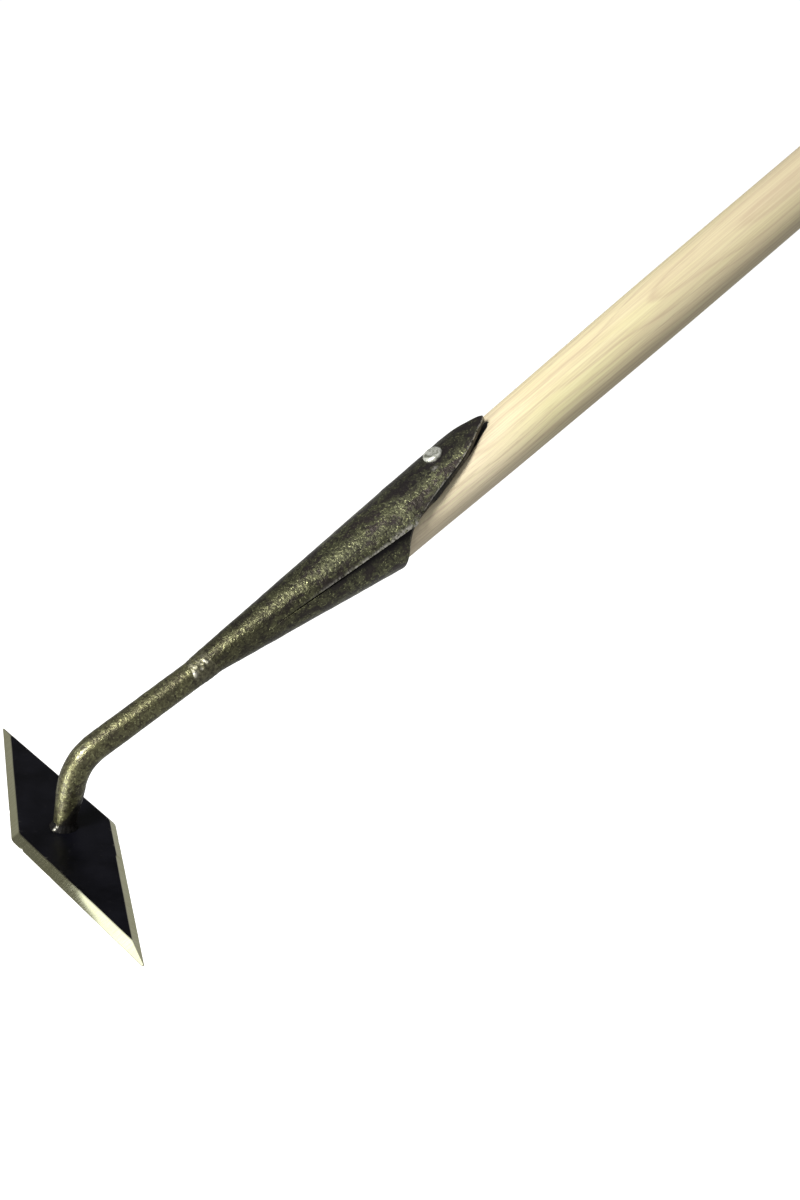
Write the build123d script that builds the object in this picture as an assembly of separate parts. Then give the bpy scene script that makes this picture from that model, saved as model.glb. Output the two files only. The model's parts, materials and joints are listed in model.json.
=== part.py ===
from build123d import *
from math import cos, radians, sin, tan
import os

# Draw hoe with a diamond blade, held in its working pose: the blade lies flat
# on the ground and the handle rises towards the user.
# Row frame, in mm: origin at the middle of the blade's flat underside,
# +X towards the user, +Y across the blade, +Z up.

# Blade: a flat diamond plate, ground to a sharp edge on all four sides
blade_long = 190.0
blade_short = 43.2
blade_t = 3.0
bevel_run = 3.0
edge_land = 0.25
tip_blunt = 1.8
corner_blunt = 0.25

# Neck: one bent round bar
bar_r = 5.8
bar_foot_r = 4.55
foot_x = -0.4
foot_lean = 83.0
foot_run = 30.2
neck_rise = 35.25
neck_run = 63.4
bend_r = 23.5
spigot_r = 3.3
spigot_len = 24.0
spigot_chamfer = 1.2

# Handle axis: where it starts, and how steeply it rises
handle_rise = 39.75
axis_x = 62.07
axis_z = 61.19

# Socket: sheet steel rolled into a cone, its top line parallel to the handle
sheet = 2.2
cone_len = 108.4
cone_small_r = 5.8
cone_small_z = 11.6
cone_large_r = 17.35
tongue_r = 18.1
tongue_tip = 160.2
tip_offset = -1.6
seam_gap = 0.5
seam_near = 30.0
seam_z = 6.2
seam_slope = 0.05

# Handle: turned ash
grip_r = 14.5
grip_start = 280.0
handle_tail = 46.0
handle_end = 1500.0
butt_round = 7.0

# Rivet through tongue and wood, its washer sunk below the surface of the wood
rivet_t = 132.4
rivet_r = 2.5
head_r = 4.5
head_top = 19.35
head_flat_r = 2.2
washer_r = 5.2
washer_t = 1.2
washer_seat = -10.6
tail_r = 3.9
tail_h = 0.9

# Weld beads
foot_weld_leg = 2.2
foot_weld_h = 3.8
neck_weld_start = -4.6
neck_weld_end = 5.0
neck_weld_skin = 0.12

big = 60.0


def row_dir(angle):
    return Vector(cos(radians(angle)), 0, sin(radians(angle)))


# The tool frame: local X along the handle towards the butt, local Z on the
# tongue side, origin level with the small end of the socket
tool_plane = Plane(
    origin=(axis_x, 0, axis_z),
    x_dir=row_dir(handle_rise),
    z_dir=row_dir(handle_rise + 90),
)


def placed(shape):
    return tool_plane.location * shape


def round_at(x, z, r):
    return Plane(origin=(x, 0, z), x_dir=(0, 1, 0), z_dir=(1, 0, 0)) * Circle(r)


def turned(points):
    """A solid of revolution about the local X axis, from (x, r) corners."""
    outline = Polyline([(x, 0, r) for x, r in points], close=True)
    return revolve(make_face(outline), axis=Axis.X, revolution_arc=360)


def cone_z(x):
    return cone_small_z * (1 - x / cone_len)


def cone_r(x):
    return cone_small_r + (cone_large_r - cone_small_r) * x / cone_len


def socket_form(inset, x_low, x_high):
    """The rolled cone and its tongue as a full solid, inset by the sheet."""
    low = round_at(x_low, cone_z(x_low), cone_r(x_low) - inset)
    high = round_at(cone_len, 0, cone_large_r - inset)
    cone = loft([low, high], ruled=True)
    slope = (tongue_r - cone_large_r) / (tongue_tip - cone_len)
    end_r = cone_large_r + slope * (x_high - cone_len)
    barrel = turned(
        [
            (cone_len, 0),
            (cone_len, cone_large_r - inset),
            (x_high, end_r - inset),
            (x_high, 0),
        ]
    )
    return cone + barrel


# --- Blade -------------------------------------------------------------
half_long = blade_long / 2 + tip_blunt
half_short = blade_short / 2 + corner_blunt
diamond = Polyline(
    [(half_short, 0), (0, half_long), (-half_short, 0), (0, -half_long)],
    close=True,
)
inset_share = 1 - bevel_run * (half_long**2 + half_short**2) ** 0.5 / (
    half_long * half_short
)
sole = make_face(diamond)
face = Plane.XY.offset(blade_t) * scale(sole, inset_share)
sharp_blade = extrude(sole, edge_land) + loft(
    [Plane.XY.offset(edge_land) * sole, face], ruled=True
)
# The four corners are blunted a little
blade = sharp_blade & Box(blade_short, blade_long, big)

# --- Neck bar ----------------------------------------------------------
foot = Vector(foot_x, 0, blade_t)
foot_dir = row_dir(foot_lean)
neck_dir = row_dir(neck_rise)
corner = foot + foot_dir * foot_run
neck_end = corner + neck_dir * neck_run
turn = foot_lean - neck_rise
bend_run = bend_r * tan(radians(turn / 2))
bend_start = corner - foot_dir * bend_run
bend_end = corner + neck_dir * bend_run
bend = TangentArc(bend_start, bend_end, tangent=foot_dir)
bar_path = bend + Line(bend_end, neck_end)
bar_round = Plane(origin=bend_start, z_dir=foot_dir) * Circle(bar_r)
bar = sweep(bar_round, path=bar_path)

foot_overrun = 6.0
foot_plane = Plane(origin=foot - foot_dir * foot_overrun, z_dir=foot_dir)
shank_len = foot_run - bend_run
taper = (bar_r - bar_foot_r) / shank_len
shank = Solid.make_cone(
    bar_foot_r - taper * foot_overrun,
    bar_r,
    shank_len + foot_overrun,
    foot_plane,
)
below_face = Pos(0, 0, blade_t - big / 2) * Box(big, big, big)

# The bar ends in a thinner spigot that enters the socket
cone_lean = -cone_small_z / cone_len
spigot_dir = Vector(1, 0, cone_lean).normalized()
shoulder_plane = Plane(origin=neck_end, z_dir=neck_dir)
spigot_back = 3.0
spigot_base = Vector(0, 0, cone_small_z) - spigot_dir * spigot_back
spigot_rod = Solid.make_cylinder(
    spigot_r,
    spigot_len + spigot_back,
    Plane(origin=spigot_base, z_dir=spigot_dir),
)
spigot_tip = spigot_rod.edges().sort_by(Axis.X)[-1]
spigot_rod = chamfer(spigot_tip, spigot_chamfer)
past_shoulder = shoulder_plane * Pos(0, 0, big / 2) * Box(big, big, big)
spigot = placed(spigot_rod) & past_shoulder
neck_rod = (bar + shank - below_face) + spigot

# --- Socket ------------------------------------------------------------
outer = socket_form(0, -8.0, tongue_tip + 6)
inner = socket_form(sheet, -8.0, tongue_tip + 8)
shell = outer - inner

# The mouth seen from the side: a slanting cut that runs up into the tongue
mouth_low = (90.2, -17.0)
mouth_line = [mouth_low, (93.2, -10.4), (97.4, -3.4)]
mouth_line += [(101.6, 2.6), (106.4, 6.4), (111.0, 9.0)]
mouth_back = -20.0
mouth_edge = Spline(mouth_line) + Polyline(
    [
        mouth_line[-1],
        (mouth_line[-1][0], big),
        (mouth_back, big),
        (mouth_back, -big),
        (mouth_low[0], -big),
        mouth_low,
    ]
)
mouth_keep = extrude(Plane.XZ * make_face(mouth_edge), big, both=True)

# The tongue seen from above: a leaf shape whose tip leans to one side
near_side = [(108.0, -15.6), (120.0, -13.9), (130.0, -12.55)]
near_side += [(140.0, -10.9), (148.0, -8.5), (154.0, -5.8)]
near_side += [(158.6, -3.6), (tongue_tip, tip_offset)]
far_side = [(tongue_tip, tip_offset), (158.6, 0.2), (154.0, 2.9)]
far_side += [(148.0, 6.7), (140.0, 10.3), (130.0, 12.55)]
far_side += [(120.0, 13.9), (108.0, 15.6)]
leaf_edge = Spline(near_side) + Spline(far_side)
leaf_edge += Line(far_side[-1], near_side[0])
leaf_floor = 6.5
leaf_keep = Pos(0, 0, leaf_floor) * extrude(make_face(leaf_edge), big)

# The open seam on one flank, where the two edges of the rolled sheet meet
seam_ends = (seam_near, cone_len + 5)


def seam_height(x):
    return seam_z + seam_slope * (100 - x)


seam_low = [(x, seam_height(x) - seam_gap / 2) for x in seam_ends]
seam_high = [(x, seam_height(x) + seam_gap / 2) for x in seam_ends]
seam_face = make_face(Polyline(seam_low + seam_high[::-1], close=True))
seam_cut = extrude(Plane.XZ * seam_face, big)

rivet_hole = Pos(rivet_t, 0, 0) * Cylinder(rivet_r, 2 * big)
formed = (shell & (mouth_keep + leaf_keep)) - seam_cut - rivet_hole
before_shoulder = shoulder_plane * Pos(0, 0, -big / 2) * Box(big, big, big)
socket = placed(formed) - before_shoulder

# --- Handle ------------------------------------------------------------
swell = [(handle_tail, 11.2), (92.0, 12.2), (112.0, 12.5), (136.0, 13.0)]
swell += [(165.0, 13.5), (190.0, 13.8), (220.0, 14.15), (250.0, 14.4)]
swell += [(grip_start, grip_r)]
butt_start = handle_end - butt_round
flare = Spline([(x, 0, r) for x, r in swell])
grip = Line((grip_start, 0, grip_r), (butt_start, 0, grip_r))
butt_flat_r = grip_r - butt_round
butt_mid = butt_round * sin(radians(45))
butt = ThreePointArc(
    (butt_start, 0, grip_r),
    (butt_start + butt_mid, 0, butt_flat_r + butt_mid),
    (handle_end, 0, butt_flat_r),
)
closing = Polyline(
    [
        (handle_end, 0, butt_flat_r),
        (handle_end, 0, 0),
        (handle_tail, 0, 0),
        (handle_tail, 0, swell[0][1]),
    ]
)
wood_half = make_face(flare + grip + butt + closing)
wood = revolve(wood_half, axis=Axis.X, revolution_arc=360)

# The end of the wood is shaved to the inside of the rolled cone
shaved_to = 103.0
shaved_box = Pos(shaved_to - big / 2, 0, 0) * Box(big, big, big)
washer_seat_hole = Pos(rivet_t, 0, washer_seat - big / 2) * Cylinder(
    washer_r + 0.3, big
)
wood = wood - (shaved_box - inner) - rivet_hole - washer_seat_hole
handle = placed(wood)

# --- Rivet and its washer ----------------------------------------------
# Half outline of the rivet, as (r, z): peened tail, stem, low button head
head_edge_z = head_top - 1.3
head_bottom = 15.6
washer_low = washer_seat - washer_t
tail_low = washer_low - tail_h


def arc_2d(start, middle, end):
    return ThreePointArc(*[(r, 0, z) for r, z in (start, middle, end)])


rivet_line = arc_2d(
    (0, tail_low),
    (tail_r * 0.72, washer_low - tail_h * 0.62),
    (tail_r, washer_low),
)
rivet_line += Polyline(
    [
        (tail_r, 0, washer_low),
        (rivet_r, 0, washer_low),
        (rivet_r, 0, head_bottom),
        (head_r, 0, head_bottom),
        (head_r, 0, head_edge_z),
    ]
)
rivet_line += arc_2d(
    (head_r, head_edge_z),
    (head_r - 0.65, head_top - 0.35),
    (head_flat_r, head_top),
)
rivet_line += Polyline(
    [(head_flat_r, 0, head_top), (0, 0, head_top), (0, 0, tail_low)]
)
rivet_form = revolve(make_face(rivet_line), axis=Axis.Z, revolution_arc=360)
above_axis = Pos(rivet_t, 0, big / 2) * Box(big, big, big)
under_head = (outer & above_axis) - rivet_hole
rivet = placed(Pos(rivet_t, 0, 0) * rivet_form - under_head)

washer = Pos(rivet_t, 0, washer_seat - washer_t / 2) * Cylinder(washer_r, washer_t)
rivet_washer = placed(washer - rivet_hole)

# --- Welds -------------------------------------------------------------
weld_under = 4.0
foot_slope = foot_weld_leg / foot_weld_h
foot_cone = Solid.make_cone(
    bar_foot_r + foot_weld_leg + foot_slope * weld_under,
    bar_foot_r,
    foot_weld_h + weld_under,
    Plane(origin=foot - foot_dir * weld_under, z_dir=foot_dir),
)
blade_weld = foot_cone - neck_rod - below_face

# The upper weld runs from the bar up onto the offset end of the socket
on_bar = shoulder_plane.offset(neck_weld_start) * Circle(bar_r + neck_weld_skin)
on_socket = placed(
    round_at(
        neck_weld_end,
        cone_z(neck_weld_end),
        cone_r(neck_weld_end) + neck_weld_skin / 4,
    )
)
socket_weld = loft([on_bar, on_socket], ruled=True) - neck_rod - placed(outer)

# --- Sub-part files ----------------------------------------------------
nodes = {
    "blade": blade,
    "neck_rod": neck_rod,
    "socket": socket,
    "handle": handle,
    "rivet": rivet,
    "rivet_washer": rivet_washer,
    "blade_weld": blade_weld,
    "socket_weld": socket_weld,
}
os.makedirs("parts", exist_ok=True)
for name, shape in nodes.items():
    export_step(shape, f"parts/{name}.step")
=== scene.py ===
import json
import math

import bmesh
import bpy
import numpy as np
from mathutils import Matrix, Vector, noise


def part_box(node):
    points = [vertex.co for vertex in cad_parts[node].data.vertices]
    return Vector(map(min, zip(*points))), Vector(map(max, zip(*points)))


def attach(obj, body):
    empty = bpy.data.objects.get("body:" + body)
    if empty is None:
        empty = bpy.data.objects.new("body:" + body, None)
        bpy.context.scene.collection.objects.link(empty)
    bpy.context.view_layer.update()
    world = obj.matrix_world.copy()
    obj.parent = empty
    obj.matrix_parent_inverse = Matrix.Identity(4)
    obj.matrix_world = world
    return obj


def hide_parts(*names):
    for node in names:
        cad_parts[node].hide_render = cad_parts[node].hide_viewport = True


# Draw hoe, dressed around its CAD frame. Lengths in the mesh code are in mm
# and turned to metres where a piece is made. The tool frame has local X (t)
# along the handle towards the butt, local Y the row's Y and local Z on the
# tongue side; angles (a) round a section are measured from the top, positive
# on the near (-Y) flank.

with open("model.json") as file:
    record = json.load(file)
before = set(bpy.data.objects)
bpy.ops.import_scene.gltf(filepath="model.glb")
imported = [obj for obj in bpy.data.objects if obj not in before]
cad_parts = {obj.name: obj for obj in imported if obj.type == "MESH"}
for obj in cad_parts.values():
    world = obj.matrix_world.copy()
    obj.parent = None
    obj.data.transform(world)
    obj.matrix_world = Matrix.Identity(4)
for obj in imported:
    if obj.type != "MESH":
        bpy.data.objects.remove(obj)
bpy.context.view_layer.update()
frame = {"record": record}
scene = bpy.context.scene

MM = 0.001

# --- The tool frame, from the record's grip mount -----------------------
grip = next(m for m in frame["record"]["mounts"] if m["name"] == "handle_grip")
AXIS = Vector(grip["axis"])
GRIP_T = 886.5
RISE = math.atan2(AXIS[2], AXIS[0])
ORIGIN = Vector(grip["pos_m"]) * 1000 - AXIS * GRIP_T


def row_from_tool(points):
    """Tool-frame points in mm to row points in mm."""
    p = np.asarray(points, float)
    c, s = math.cos(RISE), math.sin(RISE)
    t, y, z = p[..., 0], p[..., 1], p[..., 2]
    return np.stack([ORIGIN[0] + c * t - s * z, y, ORIGIN[2] + s * t + c * z], -1)


# --- Small numeric helpers ----------------------------------------------
def smooth(x, low, high):
    u = np.clip((np.asarray(x, float) - low) / (high - low), 0, 1)
    return u * u * (3 - 2 * u)


def relief(points, size, seed=0.0, octaves=1):
    """Smooth noise between -1 and 1 at points in mm, with lumps of this size."""
    p = np.asarray(points, float)
    flat = p.reshape(-1, 3)
    out = np.zeros(len(flat))
    gain = 1.0
    step = 1.0 / size
    for k in range(octaves):
        shift = Vector((seed * 7.3 + k * 3.1, seed * 1.7, -seed * 4.9))
        out += gain * np.array([noise.noise(Vector(q) * step + shift) for q in flat])
        gain *= 0.5
        step *= 2.0
    return out.reshape(p.shape[:-1])


def through(points, count):
    """A smooth curve through 2-D points (Catmull-Rom), evenly resampled."""
    p = np.array(points, float)
    p = np.vstack([2 * p[0] - p[1], p, 2 * p[-1] - p[-2]])
    out = []
    for i in range(1, len(p) - 2):
        for u in np.linspace(0, 1, 24, endpoint=False):
            a, b, c, d = p[i - 1:i + 3]
            out.append(0.5 * (2 * b + (c - a) * u + (2 * a - 5 * b + 4 * c - d) * u * u
                              + (3 * b - 3 * c + d - a) * u ** 3))
    out.append(p[-2])
    out = np.array(out)
    run = np.concatenate([[0], np.cumsum(np.linalg.norm(np.diff(out, axis=0), axis=1))])
    want = np.linspace(0, run[-1], count)
    return np.stack([np.interp(want, run, out[:, k]) for k in (0, 1)], -1)


# --- Pieces ---------------------------------------------------------------
def piece(name, verts, faces, materials, attributes=None, face_mats=None, crease=None):
    """Makes a mesh piece from row points in mm; it stands for the CAD node
    of the same name. Edges that turn more than crease degrees stay sharp."""
    mesh = bpy.data.meshes.new(name + "_piece")
    verts = np.asarray(verts, float).reshape(-1, 3) * MM
    mesh.from_pydata(verts.tolist(), [], [list(map(int, f)) for f in faces])
    for m in materials:
        mesh.materials.append(m)
    if face_mats is not None:
        mesh.polygons.foreach_set("material_index", np.asarray(face_mats, np.int32))
    for label, values in (attributes or {}).items():
        layer = mesh.attributes.new(label, "FLOAT", "POINT")
        layer.data.foreach_set("value", np.asarray(values, np.float32).ravel())
    mesh.polygons.foreach_set("use_smooth", [True] * len(mesh.polygons))
    obj = bpy.data.objects.new(name + "_piece", mesh)
    scene.collection.objects.link(obj)
    tidy_mesh(obj)
    if crease is not None:
        mesh.set_sharp_from_angle(angle=math.radians(crease))
    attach(obj, "root")
    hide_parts(name)


def tidy_mesh(obj, reach=1e-6):
    """Joins points nearer than reach in metres and drops stray faces."""
    bm = bmesh.new()
    bm.from_mesh(obj.data)
    bmesh.ops.remove_doubles(bm, verts=bm.verts, dist=reach)
    bmesh.ops.dissolve_degenerate(bm, edges=bm.edges, dist=reach)
    seen = {}
    extra = []
    for f in bm.faces:
        key = frozenset(v.index for v in f.verts)
        if key in seen:
            extra.append(f)
            extra.append(seen[key])
        seen[key] = f
    if extra:
        bmesh.ops.delete(bm, geom=list(set(extra)), context="FACES")
    loose = [v for v in bm.verts if not v.link_faces]
    bmesh.ops.delete(bm, geom=loose, context="VERTS")
    bmesh.ops.recalc_face_normals(bm, faces=bm.faces)
    bm.to_mesh(obj.data)
    bm.free()


def ring_faces(rows, cols, caps=(True, True)):
    """Quads of a loft of closed rings, with an n-gon on each end."""
    faces = []
    for i in range(rows - 1):
        for j in range(cols):
            k = (j + 1) % cols
            faces.append((i * cols + j, i * cols + k, (i + 1) * cols + k, (i + 1) * cols + j))
    if caps[0]:
        faces.append(tuple(range(cols))[::-1])
    if caps[1]:
        faces.append(tuple((rows - 1) * cols + j for j in range(cols)))
    return faces


def lathe(profile, cols, centre, axis, side):
    """Rings about an axis through centre, from (height, radius) pairs."""
    axis, side = np.array(axis, float), np.array(side, float)
    other = np.cross(axis, side)
    turn = np.linspace(0, 2 * np.pi, cols, endpoint=False)
    h = np.array([p[0] for p in profile])[:, None, None]
    r = np.array([p[1] for p in profile])[:, None, None]
    round_ = np.cos(turn)[:, None] * side + np.sin(turn)[:, None] * other
    return np.array(centre, float) + h * axis + r * round_


# --- Shader building --------------------------------------------------------
class Shader:
    """A small builder for one procedural material. Its coordinates are the
    object's own, in mm."""

    def __init__(self, name, **values):
        self.material = bpy.data.materials.new(name)
        self.material.use_nodes = True
        self.tree = self.material.node_tree
        self.bsdf = self.tree.nodes["Principled BSDF"]
        for label, value in values.items():
            self.bsdf.inputs[label.replace("_", " ")].default_value = value

    def node(self, kind, feeds=None, **props):
        made = self.tree.nodes.new("ShaderNode" + kind)
        for key, value in props.items():
            setattr(made, key, value)
        for key, value in (feeds or {}).items():
            self.feed(made.inputs[key], value)
        return made

    def feed(self, socket, value):
        if isinstance(value, bpy.types.NodeSocket):
            self.tree.links.new(value, socket)
        else:
            socket.default_value = value

    def set(self, label, value):
        self.feed(self.bsdf.inputs[label], value)

    def coords(self, stretch=(1, 1, 1), tool=True):
        """mm coordinates, along the tool frame unless told otherwise."""
        where = self.node("TexCoord").outputs["Object"]
        turn = RISE if tool else 0.0
        first = self.node("Mapping", {"Vector": where})
        first.inputs["Scale"].default_value = (1000, 1000, 1000)
        first.inputs["Rotation"].default_value = (0, turn, 0)
        if tool:
            c, s = math.cos(RISE), math.sin(RISE)
            shift = (-c * ORIGIN[0] - s * ORIGIN[2], 0, s * ORIGIN[0] - c * ORIGIN[2])
            first.inputs["Location"].default_value = shift
        out = first.outputs[0]
        if stretch != (1, 1, 1):
            second = self.node("Mapping", {"Vector": out})
            second.inputs["Scale"].default_value = stretch
            out = second.outputs[0]
        return out

    def noise(self, vector, scale, detail=3.0, rough=0.5, distort=0.0):
        feeds = {"Vector": vector, "Scale": scale, "Detail": detail,
                 "Roughness": rough, "Distortion": distort}
        return self.node("TexNoise", feeds).outputs["Fac"]

    def noise_vector(self, vector, scale, detail=2.0):
        feeds = {"Vector": vector, "Scale": scale, "Detail": detail}
        return self.node("TexNoise", feeds).outputs["Color"]

    def cells(self, vector, scale):
        feeds = {"Vector": vector, "Scale": scale}
        return self.node("TexVoronoi", feeds).outputs["Distance"]

    def math(self, operation, a, b=0.0, clamp=False):
        made = self.node("Math", operation=operation, use_clamp=clamp)
        self.feed(made.inputs[0], a)
        self.feed(made.inputs[1], b)
        return made.outputs[0]

    def remap(self, value, low, high, to_low=0.0, to_high=1.0):
        feeds = {"Value": value, "From Min": low, "From Max": high,
                 "To Min": to_low, "To Max": to_high}
        return self.node("MapRange", feeds).outputs["Result"]

    def ramp(self, value, *stops):
        made = self.node("ValToRGB", {"Fac": value})
        line = made.color_ramp
        while len(line.elements) < len(stops):
            line.elements.new(0.5)
        for element, (at, colour) in zip(line.elements, stops):
            element.position = at
            element.color = (*colour, 1.0)
        return made.outputs["Color"]

    def mix(self, share, a, b, blend="MIX"):
        made = self.node("Mix", data_type="RGBA", blend_type=blend)
        made.clamp_factor = True
        self.feed(made.inputs[0], share)
        self.feed(made.inputs[6], self.rgba(a))
        self.feed(made.inputs[7], self.rgba(b))
        return made.outputs[2]

    @staticmethod
    def rgba(colour):
        if isinstance(colour, bpy.types.NodeSocket):
            return colour
        return (*colour, 1.0) if len(colour) == 3 else colour

    def attribute(self, label):
        return self.node("Attribute", attribute_name=label).outputs["Fac"]

    def split(self, vector):
        made = self.node("SeparateXYZ", {0: vector})
        return made.outputs[0], made.outputs[1], made.outputs[2]

    def join(self, x, y, z):
        made = self.node("CombineXYZ")
        for socket, value in zip(made.inputs, (x, y, z)):
            self.feed(socket, value)
        return made.outputs[0]

    def bump(self, height, strength, distance, over=None):
        feeds = {"Height": height, "Strength": strength, "Distance": distance}
        if over is not None:
            feeds["Normal"] = over
        return self.node("Bump", feeds).outputs["Normal"]


# --- Materials ---------------------------------------------------------------
def bronze_paint():
    """Hammered metallic paint, dark bronze with golden-green flecks. It is warmer and lighter on
    the bar than on the wide end of the socket. Along the socket it is painted shade near the
    small end and painted highlight towards the wide end."""
    s = Shader("bronze_paint", Metallic=0.85, Coat_Weight=0.35, Coat_Roughness=0.16)
    at = s.coords()
    t, _, _ = s.split(at)
    wide = s.remap(t, 5.0, 70.0)
    patches = s.noise(s.coords((0.6, 1.0, 1.0)), 0.17, detail=4, rough=0.62)
    lumps = s.noise(at, 0.50, detail=3, rough=0.6, distort=0.8)
    flecks = s.noise(at, 1.15, detail=2, rough=0.6)
    pits = s.cells(at, 0.50)
    warm = s.ramp(lumps, (0.34, (0.050, 0.044, 0.025)), (0.47, (0.115, 0.109, 0.057)),
                  (0.63, (0.200, 0.196, 0.100)))
    green = s.ramp(lumps, (0.34, (0.024, 0.022, 0.017)), (0.47, (0.060, 0.060, 0.036)),
                   (0.63, (0.130, 0.134, 0.072)))
    base = s.mix(wide, warm, green)
    base = s.mix(s.remap(flecks, 0.58, 0.69), base, (0.38, 0.39, 0.205))
    dull = s.math("MULTIPLY", s.remap(patches, 0.50, 0.57), s.remap(t, -10.0, 60.0, 0.38, 0.85))
    base = s.mix(dull, base, (0.034, 0.026, 0.027))
    # painted highlight and shade: the paint is darker near the small end of the socket and
    # lighter towards its wide end, where the lamp's highlight falls
    painted_highlight_and_shade = s.math("MAXIMUM", s.remap(t, 0.0, 10.0, 1.0, 0.0),
                    s.remap(t, 25.0, 135.0, 0.60, 1.60))
    base = s.mix(1.0, base, painted_highlight_and_shade, "MULTIPLY")
    # rubbed bare metal on the socket's edges and chips; along the seam's edge and the rim it is
    # also a painted highlight
    wear = s.attribute("wear")
    rubbed_and_sheen = s.math("MULTIPLY", wear, s.remap(s.noise(at, 0.9, 4), 0.38, 0.62), clamp=True)
    base = s.mix(rubbed_and_sheen, base, (0.66, 0.64, 0.57))
    # painted shade: near black where the socket's flap, tongue top, seam band and inside are to
    # look shaded, and low on the bar where lacquer and shade lie
    grime_and_painted_shade = s.attribute("grime_and_painted_shade")
    base = s.mix(s.math("MULTIPLY", grime_and_painted_shade, 0.92, clamp=True), base, (0.010, 0.008, 0.010))
    s.set("Base Color", base)
    rough = s.remap(lumps, 0.3, 0.7, 0.47, 0.30)
    rough = s.math("ADD", rough, s.math("MULTIPLY", grime_and_painted_shade, 0.25))
    s.set("Roughness", s.math("SUBTRACT", rough, s.math("MULTIPLY", rubbed_and_sheen, 0.10)))
    first = s.bump(lumps, 0.55, 0.00050)
    second = s.bump(flecks, 0.45, 0.00020, first)
    s.set("Normal", s.bump(pits, 0.25, 0.00020, second))
    return s.material


def blade_paint():
    """Near-black satin lacquer over rolled plate."""
    s = Shader("blade_paint", Metallic=0.0, Coat_Weight=0.04, Coat_Roughness=0.30,
               Specular_IOR_Level=0.07)
    at = s.coords(tool=False)
    cloud = s.noise(at, 0.05, detail=4, rough=0.6)
    grain = s.noise(at, 1.2, detail=3, rough=0.6)
    dust = s.noise(at, 0.45, detail=5, rough=0.7)
    base = s.ramp(cloud, (0.36, (0.0008, 0.0008, 0.0020)), (0.62, (0.0060, 0.0060, 0.0095)))
    base = s.mix(s.remap(dust, 0.62, 0.78, 0.0, 0.5), base, (0.040, 0.040, 0.042))
    wear = s.attribute("wear")
    chipped = s.math("MULTIPLY", wear, s.remap(s.noise(at, 0.5, 4), 0.60, 0.70), clamp=True)
    base = s.mix(chipped, base, (0.14, 0.14, 0.12))
    s.set("Base Color", base)
    s.set("Roughness", s.remap(cloud, 0.3, 0.7, 0.36, 0.52))
    first = s.bump(grain, 0.18, 0.00008)
    s.set("Normal", s.bump(cloud, 0.30, 0.00060, first))
    return s.material


def ground_steel():
    """Bare steel left by the grinding wheel, with scratches across the edge."""
    s = Shader("ground_steel", Metallic=1.0)
    along = s.attribute("along")
    across = s.attribute("across")
    streaks = s.noise(s.join(along, s.math("MULTIPLY", across, 0.10), 0.0), 1.7, 4, 0.65)
    waves = s.noise(s.join(along, across, 3.0), 0.10, 3, 0.5)
    spots = s.noise(s.coords(tool=False), 0.8, 4, 0.6)
    base = s.ramp(streaks, (0.28, (0.52, 0.51, 0.31)), (0.62, (0.70, 0.70, 0.46)))
    base = s.mix(s.remap(spots, 0.62, 0.76, 0.0, 0.45), base, (0.34, 0.31, 0.18))
    base = s.mix(s.remap(waves, 0.42, 0.62, 0.0, 0.4), base, (0.58, 0.56, 0.33))
    # a darker line where the ground face runs under the lacquer
    base = s.mix(s.remap(across, 2.55, 2.95, 0.0, 0.75), base, (0.14, 0.13, 0.10))
    s.set("Base Color", base)
    s.set("Roughness", s.remap(streaks, 0.3, 0.7, 0.05, 0.10))
    first = s.bump(streaks, 0.04, 0.00001)
    s.set("Normal", s.bump(waves, 0.03, 0.00010, first))
    return s.material


def weld_steel(name, painted, metallic, gloss, specular):
    """Ripples of a weld bead under thin paint."""
    s = Shader(name, Coat_Weight=gloss, Coat_Roughness=0.2,
               Specular_IOR_Level=specular)
    at = s.coords(tool=False)
    lumps = s.noise(at, 0.7, 4, 0.6)
    flecks = s.noise(at, 1.9, 2, 0.6)
    base = s.ramp(lumps, (0.32, painted[0]), (0.64, painted[1]))
    bare = s.math("MULTIPLY", s.attribute("wear"), s.remap(flecks, 0.30, 0.55), clamp=True)
    base = s.mix(bare, base, (0.72, 0.70, 0.60))
    s.set("Base Color", base)
    s.set("Metallic", s.math("MAXIMUM", bare, metallic))
    s.set("Roughness", s.remap(lumps, 0.3, 0.7, 0.52, 0.34))
    first = s.bump(lumps, 0.5, 0.00035)
    s.set("Normal", s.bump(flecks, 0.3, 0.0001, first))
    return s.material


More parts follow.
